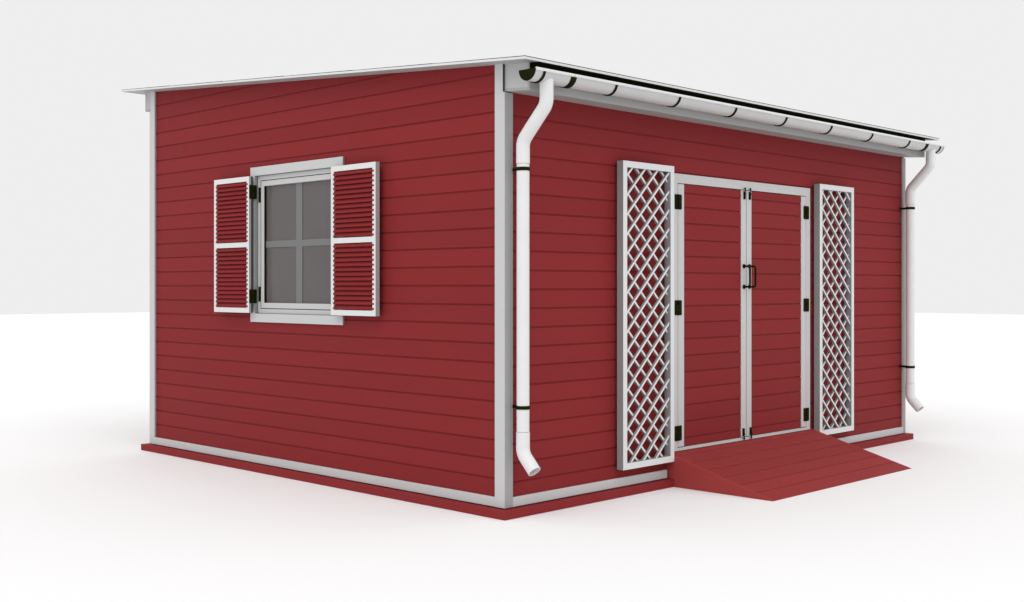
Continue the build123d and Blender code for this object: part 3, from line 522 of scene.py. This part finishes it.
def ramp_boards():
    """Boards across the slope with open joints, between two cheeks."""
    low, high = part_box("ramp_deck")
    joint = 0.009
    thickness = 0.030
    rise = (high.z - low.z) / (high.y - low.y)
    edges = [low.y]
    edge = low.y + RAMP_FIRST_BOARD
    while edge < high.y:
        edges.append(edge)
        edge += RAMP_BOARD
    edges.append(high.y)
    x = (low.x + RAMP_CHEEK, high.x - RAMP_CHEEK)
    bm = new_bmesh()
    for start, stop in zip(edges, edges[1:]):
        stop -= joint if stop < high.y else 0
        tops = [rise * (y - low.y) for y in (start, stop)]
        feet = [max(0.0, top - thickness) for top in tops]
        outline = [(start, feet[0]), (stop, feet[1]), (stop, tops[1])]
        if tops[0] > 0:
            outline.append((start, tops[0]))
        run_outline(bm, outline, along_x, x, RANDOM.uniform(-0.25, 0.25))
    piece = finished(bm, "ramp_boards", RAMP_RED, ROOT)
    bevel(piece, 0.002)
    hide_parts("ramp_deck")


def ramp_cheeks():
    """A full-height side board at each edge, and two bearers between them."""
    low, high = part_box("ramp_deck")
    rise = (high.z - low.z) / (high.y - low.y)
    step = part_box("base_platform")
    bm = new_bmesh()
    foot = (step[0].y, step[1].z)
    toe = (low.y, 0.0)
    side = [toe, (foot[0], 0.0), foot, (high.y, foot[1]), (high.y, high.z)]
    drop = 0.034
    bearer_toe = (toe[0] + drop / rise, 0.0)
    bearer = [bearer_toe, (foot[0], 0.0), foot, (high.y, foot[1]), (high.y, high.z - drop)]
    for x in ((low.x, low.x + RAMP_CHEEK), (high.x - RAMP_CHEEK, high.x)):
        run_outline(bm, side, along_x, x)
    third = (high.x - low.x) / 3
    for middle in (low.x + third, high.x - third):
        run_outline(bm, bearer, along_x, (middle - RAMP_CHEEK, middle + RAMP_CHEEK))
    piece = finished(bm, "ramp_cheeks", RAMP_SIDE_LIT_RED, ROOT)
    bevel(piece, 0.0015)
    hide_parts("ramp_stringers")


def floor_planks():
    """Floor boards along the room."""
    low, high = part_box("floor_deck")
    thickness = 0.022
    joint = 0.003
    count = round((high.y - low.y) / PITCH)
    pitch = (high.y - low.y) / count
    bm = new_bmesh()
    for step in range(count):
        y = (low.y + step * pitch, low.y + (step + 1) * pitch - joint)
        add_block(bm, (low.x, high.x), y, (high.z - thickness, high.z), RANDOM.uniform(-0.2, 0.2))
    add_block(bm, (low.x, high.x), (low.y, high.y), (low.z, high.z - thickness - joint))
    piece = finished(bm, "floor_planks", FLOOR_TIMBER, ROOT)
    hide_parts("floor_deck")


# ---------------------------------------------------------------- roof
def roof_felt():
    """Felt strips that run along X, each lapped over the one below it."""
    low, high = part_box("roof_sheet")
    strips = 6
    lap = 0.0022
    base = 0.0025
    reach = high.y - low.y
    bm = new_bmesh()
    for step in range(strips):
        y = (low.y + reach * step / strips, low.y + reach * (step + 1) / strips)
        foot = [low.z + ROOF_SLOPE * (value - low.y) for value in y]
        top = (foot[0] + base + lap, foot[1] + base)
        outline = [(y[0], foot[0]), (y[1], foot[1]), (y[1], top[1]), (y[0], top[0])]
        run_outline(bm, outline, along_x, (low.x, high.x), RANDOM.uniform(-0.12, 0.12))
    piece = finished(bm, "roof_felt", FELT, ROOT)
    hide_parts("roof_sheet")


# ---------------------------------------------------------------- shutters
def shutter_slats(name):
    """Tilted slats in both openings of one shutter, let into the stiles."""
    node = f"shutter_{name}_louvres"
    low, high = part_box(node)
    frame_low, frame_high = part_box(f"shutter_{name}_frame")
    heights = levels(node, 2)
    slats = 14
    near_housing = 0.020        # how far the slats run into each stile
    far_housing = 0.008
    round_off = 0.002
    first_foot = 0.16           # of the pitch
    back_gap = 0.008
    front = frame_low.x - round_off
    back = frame_high.x - back_gap
    place = lambda u, depth, height: (depth, u, height)
    bm = new_bmesh()
    for bottom, top in ((heights[0], heights[1]), (heights[-2], heights[-1])):
        pitch = (top - bottom) / slats
        face = 0.42 * pitch
        rise = 0.95 * pitch
        for step in range(slats):
            foot = bottom + (step + first_foot) * pitch
            outline = [
                (front + round_off, foot),
                (front, foot + round_off),
                (front, foot + face - round_off),
                (front + round_off, foot + face),
                (back, foot + face + rise),
                (back, foot + rise),
            ]
            y = (low.y - near_housing, high.y + far_housing)
            run_outline(bm, outline, place, y, RANDOM.uniform(-0.2, 0.2))
    piece = finished(bm, f"shutter_{name}_slats", RED_BOARDS_Y, f"shutter_{name}")
    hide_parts(node)


def shutter_shade_strip(name, end):
    """Painted shade: a dark grey strip on the back half of a shutter's hinge edge, for the shadow in the
    gap between the shutter and the casing.
    """
    low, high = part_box(f"shutter_{name}_frame")
    thick = 0.0008
    inset = 0.0001
    edge = low.y if end > 0 else high.y
    y = sorted((edge - end * inset, edge - end * thick))
    x = ((low.x + high.x) / 2, high.x - 0.001)
    bm = new_bmesh()
    add_block(bm, x, y, (low.z + 0.002, high.z - 0.002))
    finished(bm, f"shutter_{name}_seal", SHADE_STRIP_GREY, f"shutter_{name}")


# ---------------------------------------------------------------- window
def window_bars():
    """One wide upright and one cross bar on the face of the pane."""
    low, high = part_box("window_glass")
    middle_y = (low.y + high.y) / 2
    middle_z = (low.z + high.z) / 2
    thick = 0.006
    x = (low.x - thick, low.x - SKIN)
    half_upright = 0.0435
    half_cross = 0.0285
    bm = new_bmesh()
    add_block(bm, x, (middle_y - half_upright, middle_y + half_upright), (low.z, high.z))
    for y in ((low.y, middle_y - half_upright), (middle_y + half_upright, high.y)):
        add_block(bm, x, y, (middle_z - half_cross, middle_z + half_cross))
    piece = finished(bm, "window_bars", GREY_BARS, ROOT)
    bevel(piece, 0.001)


def window_shade_strips():
    """Painted shade: black strips down both sides of the pane, for the shaded inner faces of the sash,
    and dark grey strips in the joint round the sash, for its shadow line.
    """
    pane_low, pane_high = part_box("window_glass")
    sash_low, sash_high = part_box("window_sash")
    thick = 0.0025
    depth = 0.004               # behind the face of the sash
    bm = new_bmesh()
    for y in ((pane_low.y, pane_low.y + thick), (pane_high.y - thick, pane_high.y)):
        add_block(bm, (sash_low.x + depth, pane_low.x - SKIN), y, (pane_low.z, pane_high.z))
    # Painted shade: black for the sash's shaded inner faces.
    finished(bm, "pane_shade_strips", BLACK, ROOT)

    # Painted shade: dark grey for the shadow line in the joint round the sash.
    half = 0.0035
    x = (sash_low.x - 0.0006, sash_low.x + depth)
    bm = new_bmesh()
    for y in (sash_low.y, sash_high.y):
        add_block(bm, x, (y - half, y + half), (sash_low.z - half, sash_high.z + half))
    for z in (sash_low.z, sash_high.z):
        add_block(bm, x, (sash_low.y + half, sash_high.y - half), (z - half, z + half))
    finished(bm, "window_shade_strips", SHADE_STRIP_GREY, ROOT)


def sash_hinges():
    """Two slim black hinges beside the far stile of the sash."""
    low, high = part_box("window_sash")
    tall = 0.132
    thick = 0.004
    wide = 0.032
    beside = 0.003
    y = (high.y + beside, high.y + beside + wide)
    bm = new_bmesh()
    for height in (low.z + 0.060, high.z - 0.058 - tall):
        add_block(bm, (low.x - thick, low.x - SKIN), y, (height, height + tall))
    piece = finished(bm, "sash_hinges", BLACK, ROOT)
    bevel(piece, 0.0015)


# ---------------------------------------------------------------- eaves
def eave_shade_strips():
    """Painted shade: dark grey strips in the corner notches beside the front eave box, for the shade on
    the corner trims' front edges there.
    """
    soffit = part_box("eave_end_boards")[0].z
    low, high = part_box("corner_trims")
    thick = 0.0015
    top = FRONT_BOX[1].z - ROOF_SLOPE * (FRONT_BOX[1].y + WALL_Y + 2 * thick)
    bm = new_bmesh()
    inset = 0.0005              # from the corner's outer face
    for x in ((low.x + inset, -WALL_X - SKIN), (WALL_X + SKIN, high.x - inset)):
        add_block(bm, x, (-WALL_Y - thick, -WALL_Y - SKIN), (soffit, top))
    finished(bm, "eave_shade_strips", SHADE_STRIP_GREY, ROOT)


# ---------------------------------------------------------------- ironwork
def screw_heads(name, node, body, normal_axis, sign):
    """Domed screw heads on each plate of a hinge node."""
    bm = new_bmesh()
    for low, high in plates(node):
        across = 1 - normal_axis
        face = low[normal_axis] if sign < 0 else high[normal_axis]
        for share in (0.12, 0.37, 0.63, 0.88):
            centre = [0.0, 0.0, low.z + share * (high.z - low.z)]
            centre[across] = (low[across] + high[across]) / 2
            centre[normal_axis] = face
            add_screw(bm, centre, normal_axis, sign)
    piece = finished(bm, name, BLACK, body)
    smooth(piece)


def add_screw(bm, centre, axis, sign):
    """One domed head on a face that looks along an axis."""
    radius = 0.0042
    dome = [(radius, -0.0005), (radius, 0.0006), (radius * 0.8, 0.0015), (radius * 0.4, 0.0020)]

    def place(a, b, height):
        point = [centre[0], centre[1], centre[2] + b]
        point[1 - axis] += a
        point[axis] += sign * height
        return point

    lathe(bm, dome, place, steps=12)


def islands(node):
    """The separate solids of a CAD node, as (low, high) boxes."""
    bm = bmesh.new()
    bm.from_mesh(NODES[node].data)
    bmesh.ops.remove_doubles(bm, verts=bm.verts, dist=0.00001)
    boxes = []
    seen = set()
    for start in bm.verts:
        if start in seen:
            continue
        stack = [start]
        seen.add(start)
        points = []
        while stack:
            vertex = stack.pop()
            points.append(vertex.co.copy())
            for edge in vertex.link_edges:
                other = edge.other_vert(vertex)
                if other not in seen:
                    seen.add(other)
                    stack.append(other)
        low = Vector([min(point[axis] for point in points) for axis in range(3)])
        high = Vector([max(point[axis] for point in points) for axis in range(3)])
        boxes.append((low, high))
    bm.free()
    return boxes


def plates(node):
    """The flat part of each door hinge in a node: its box, less the barrel."""
    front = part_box("door_frame")[0].y
    thick = 0.004
    found = []
    for low, high in islands(node):
        if abs(high.y - front) > 0.001:
            continue
        inner, outer = sorted((abs(low.x), abs(high.x)))
        if node == "fixed_hinge_plates":
            inner += HINGE_BARREL
        else:
            outer -= HINGE_BARREL
        side = 1 if low.x > 0 else -1
        x = sorted((side * inner, side * outer))
        found.append((Vector((x[0], front - thick, low.z)), Vector((x[1], front, high.z))))
    return found


# ---------------------------------------------------------------- rain water
def gutter_bead():
    """The rolled front edge of the gutter."""
    low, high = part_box("gutter")
    radius = 0.011
    centre_y = low.y - radius * 0.2
    centre_z = high.z - radius * 0.4
    rings = levels("gutter_joint_rings", 0)
    ring = -(rings[0] + [x for x in rings if x < 0][-1]) / 2        # the middle of the right ring
    joint = 0.003
    stretches = ((low.x, -ring - joint), (-ring + joint, ring - joint), (ring + joint, high.x))
    bm = new_bmesh()
    place = lambda a, b, height: (height, centre_y + a, centre_z + b)
    for start, stop in stretches:
        lathe(bm, [(radius, start), (radius, stop)], place, steps=20)
    piece = finished(bm, "gutter_bead", PIPE_WHITE, ROOT)
    smooth(piece)


# ---------------------------------------------------------------- carried-over CAD nodes
# The paint of each node that the scene shows as the CAD has it.
PAINT = {
    "base_platform": PLATFORM_RED,
    "threshold_beam": RED_BOARDS_X,
    "left_wall": WALL_TIMBER,
    "right_wall": WALL_TIMBER,
    "back_wall": WALL_TIMBER,
    "front_wall_left": WALL_TIMBER,
    "front_wall_right": WALL_TIMBER,
    "front_wall_over_door": WALL_TIMBER,
    "rafters": WALL_TIMBER,
    "base_trims": WHITE_ALONG_X,
    "corner_trims": CORNER_WHITE,
    "roof_deck": DECK_SHADED_WHITE,
    "eave_fascias": EAVE_WHITE,
    "eave_soffits": EAVE_WHITE,
    "eave_end_boards": EAVE_END_WHITE,
    "eave_drip_strip": BLACK,
    "gutter": GUTTER_WHITE,
    "gutter_end_caps": BLACK,
    "gutter_joint_rings": BLACK,
    "gutter_brackets": BLACK,
    "downpipe_neck_bends": PIPE_WHITE,
    "downpipe_neck_slopes": PIPE_WHITE,
    "downpipe_straights": PIPE_WHITE,
    "downpipe_shoes": PIPE_WHITE,
    "pipe_clamps": BLACK,
    "trellis_frame_left": TRELLIS_WHITE,
    "trellis_frame_right": TRELLIS_WHITE,
    "trellis_lattice_left": TRELLIS_WHITE,
    "trellis_lattice_right": TRELLIS_WHITE,
    "door_frame": WHITE_UPRIGHT,
    "window_casing": CASING_WHITE,
    "window_frame": WHITE_UPRIGHT,
    "window_sash": WHITE_UPRIGHT,
    "window_glass": GLASS,
    "fixed_hinge_plates": BLACK,
}
for side in SIDES:
    PAINT[f"door_{side}_stiles"] = WHITE_UPRIGHT
    PAINT[f"shutter_{side}_frame"] = SHUTTER_WHITE
    for iron in ("hinges", "handle", "bolts"):
        PAINT[f"door_{side}_{iron}"] = BLACK
    PAINT[f"shutter_{side}_hinges"] = BLACK

# The width of the rounded edges on some of them.
SOFT_EDGES = {
    "base_platform": 0.004,
    "base_trims": 0.003,
    "corner_trims": 0.003,
    "roof_deck": 0.002,
    "eave_fascias": 0.002,
    "trellis_frame_left": 0.003,
    "trellis_frame_right": 0.003,
    "door_frame": 0.0025,
    "door_left_stiles": 0.0025,
    "door_right_stiles": 0.0025,
    "window_casing": 0.003,
    "window_frame": 0.004,
    "window_sash": 0.004,
    "shutter_left_frame": 0.002,
    "shutter_right_frame": 0.002,
    "fixed_hinge_plates": 0.0012,
    "door_left_hinges": 0.0012,
    "door_right_hinges": 0.0012,
}


def paint_cad_nodes():
    """Gives the shown CAD nodes their material and soft edges."""
    for node, material in PAINT.items():
        slots = NODES[node].data.materials
        slots.clear()
        slots.append(material)
    for node, width in SOFT_EDGES.items():
        bevel(NODES[node], width)


# ---------------------------------------------------------------- stage
def studio():
    """Pale floor, white surroundings and two wide soft lights, from the front and the left."""
    bm = bmesh.new()
    half = 60.0
    under = -0.0005             # just below the feet of the shed
    corners = ((-half, -half), (half, -half), (half, half), (-half, half))
    bm.faces.new([bm.verts.new((x, y, under)) for x, y in corners])
    mesh = bpy.data.meshes.new("floor")
    bm.to_mesh(mesh)
    bm.free()
    floor = bpy.data.objects.new("floor", mesh)
    bpy.context.scene.collection.objects.link(floor)
    graph = Graph("pale_floor")
    graph.set(Base_Color=(0.93, 0.93, 0.93, 1.0), Roughness=0.9)
    mesh.materials.append(graph.material)

    world = bpy.data.worlds.new("studio")
    world.use_nodes = True
    world.node_tree.nodes["Background"].inputs["Color"].default_value = (1, 1, 1, 1)
    world.node_tree.nodes["Background"].inputs["Strength"].default_value = 0.86
    bpy.context.scene.world = world
    for name, heading, energy in (("front_light", -12, 0.56), ("side_light", -78, 0.60)):
        sun = bpy.data.lights.new(name, "SUN")
        sun.energy = energy
        sun.angle = math.radians(40)
        light = bpy.data.objects.new(name, sun)
        light.rotation_euler = (math.radians(40), 0, math.radians(heading))
        bpy.context.scene.collection.objects.link(light)
    bpy.context.scene.view_settings.view_transform = "Standard"


def camera():
    """Level camera with vertical lines kept upright by a small shift."""
    data = bpy.data.cameras.new("camera")
    data.sensor_width = 36.0
    data.lens = 41.82
    data.shift_y = -0.01437
    data.clip_end = 200.0
    eye = bpy.data.objects.new("camera", data)
    eye.location = (-8.920, -8.338, 1.622)
    heading = math.radians(44.443)
    eye.rotation_euler = (math.radians(90), 0, heading - math.radians(90))
    bpy.context.scene.collection.objects.link(eye)
    bpy.context.scene.camera = eye


# ---------------------------------------------------------------- build
camera()
studio()
siding()
ramp_boards()
ramp_cheeks()
floor_planks()
roof_felt()
window_bars()
window_shade_strips()
sash_hinges()
eave_shade_strips()
gutter_bead()
screw_heads("door_frame_screws", "fixed_hinge_plates", ROOT, 1, -1)
for side in SIDES:
    door_boards(side)
    screw_heads(f"door_{side}_screws", f"door_{side}_hinges", f"door_{side}", 1, -1)
    shutter_slats(side)
shutter_shade_strip("left", 1)
shutter_shade_strip("right", -1)
paint_cad_nodes()
